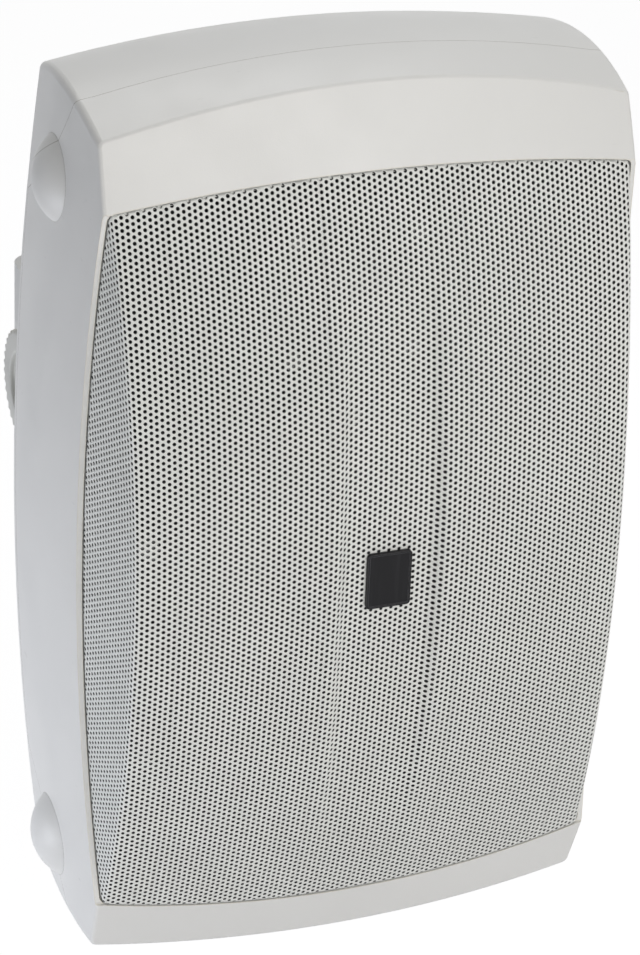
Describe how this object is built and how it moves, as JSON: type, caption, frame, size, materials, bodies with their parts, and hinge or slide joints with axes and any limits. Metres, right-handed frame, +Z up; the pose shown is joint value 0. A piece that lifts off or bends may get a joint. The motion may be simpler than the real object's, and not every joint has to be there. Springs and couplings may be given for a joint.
{
  "type": "outdoor patio speaker",
  "caption": "Barrel-sided outdoor loudspeaker with a bulged perforated grille, tilting in a yoke wall bracket held by side clamp knobs.",
  "frame": {"origin": "middle of the bracket's wall face, level with the pivot", "axes": "+X to the right and +Y away from a person who looks at the front, so +Y points to the wall; +Z up"},
  "size_m": [0.1936, 0.1998, 0.3112],
  "materials": {
    "cabinet_plastic": "fine textured white moulding",
    "grille_paint": "white powder coat",
    "badge_plastic": "plain black",
    "bracket_paint": "white powder coat",
    "knob_plastic": "fine textured off-white moulding",
    "steel": "zinc plated",
    "brass": "machined",
    "rubber": "black",
    "foam": "closed-cell foam",
    "basket_paint": "black paint on pressed steel",
    "cone_paper": "dark coated pulp",
    "cap_fabric": "doped cloth",
    "spider_fabric": "impregnated cloth",
    "coil_copper": "enamelled copper on a former",
    "ferrite": "ferrite",
    "plate_steel": "machined",
    "dark_plastic": "black moulding",
    "lever_black": "black moulding",
    "lever_red": "red moulding",
    "board": "phenolic board",
    "film": "wrapped film",
    "cement": "cement body",
    "wire": "insulated flex"
  },
  "bodies": {
    "bracket": {"wall_bracket": "bracket_paint"},
    "cabinet": {"front_cabinet": "cabinet_plastic", "rear_cabinet": "cabinet_plastic", "cabinet_gasket": "foam", "cabinet_screws": "steel", "grille": "grille_paint", "grille_badge": "badge_plastic", "pivot_inserts": "brass", "pivot_pads": "rubber", "woofer_basket": "basket_paint", "woofer_surround": "rubber", "woofer_gasket": "foam", "woofer_spider": "spider_fabric", "woofer_top_plate": "plate_steel", "woofer_magnet": "ferrite", "woofer_pole_yoke": "plate_steel", "woofer_screws": "steel", "woofer_terminal": "board", "tweeter_faceplate": "dark_plastic", "tweeter_surround": "cap_fabric", "tweeter_top_plate": "plate_steel", "tweeter_magnet": "ferrite", "tweeter_pole_yoke": "plate_steel", "tweeter_screws": "steel", "terminal_cup": "dark_plastic", "terminal_gasket": "foam", "terminal_screws": "steel", "lever_pin": "steel", "terminal_contacts": "brass", "crossover_board": "board", "crossover_screws": "steel", "inductor_bobbin": "dark_plastic", "inductor_winding": "coil_copper", "crossover_capacitor": "film", "crossover_resistor": "cement", "terminal_leads": "wire", "woofer_lead": "wire", "tweeter_lead": "wire"},
    "knob_left": {"knob_left": "knob_plastic", "knob_stud_left": "steel"},
    "knob_right": {"knob_right": "knob_plastic", "knob_stud_right": "steel"},
    "woofer_cone": {"woofer_cone": "cone_paper", "woofer_dust_cap": "cap_fabric", "woofer_voice_coil": "coil_copper"},
    "tweeter_dome": {"tweeter_dome": "cap_fabric", "tweeter_voice_coil": "coil_copper"},
    "lever_left": {"terminal_lever_left": "lever_black"},
    "lever_right": {"terminal_lever_right": "lever_red"}
  },
  "joints": [
    {"name": "cabinet_tilt", "type": "hinge", "parent": "bracket", "child": "cabinet", "pos_m": [0, -0.0692, 0], "axis": [1, 0, 0], "range_deg": [-20, 20]},
    {"name": "knob_left_turn", "type": "hinge", "parent": "cabinet", "child": "knob_left", "pos_m": [-0.0771, -0.0692, 0], "axis": [-1, 0, 0], "continuous": true},
    {"name": "knob_right_turn", "type": "hinge", "parent": "cabinet", "child": "knob_right", "pos_m": [0.0771, -0.0692, 0], "axis": [1, 0, 0], "continuous": true},
    {"name": "woofer_travel", "type": "slide", "parent": "cabinet", "child": "woofer_cone", "axis": [0, -1, 0], "range_m": [-0.004, 0.004], "stiffness_N_per_m": 1000, "deforming": ["woofer_surround", "woofer_spider"]},
    {"name": "tweeter_travel", "type": "slide", "parent": "cabinet", "child": "tweeter_dome", "axis": [0, -1, 0], "range_m": [-0.0003, 0.0003], "stiffness_N_per_m": 500, "deforming": ["tweeter_surround"]},
    {"name": "lever_left_press", "type": "hinge", "parent": "cabinet", "child": "lever_left", "pos_m": [0, -0.0435, -0.0568], "axis": [-1, 0, 0], "range_deg": [0, 22], "stiffness_Nm_per_rad": 0.05, "springref_deg": -11.46},
    {"name": "lever_right_press", "type": "hinge", "parent": "cabinet", "child": "lever_right", "pos_m": [0, -0.0435, -0.0568], "axis": [-1, 0, 0], "range_deg": [0, 22], "stiffness_Nm_per_rad": 0.05, "springref_deg": -11.46}
  ]
}
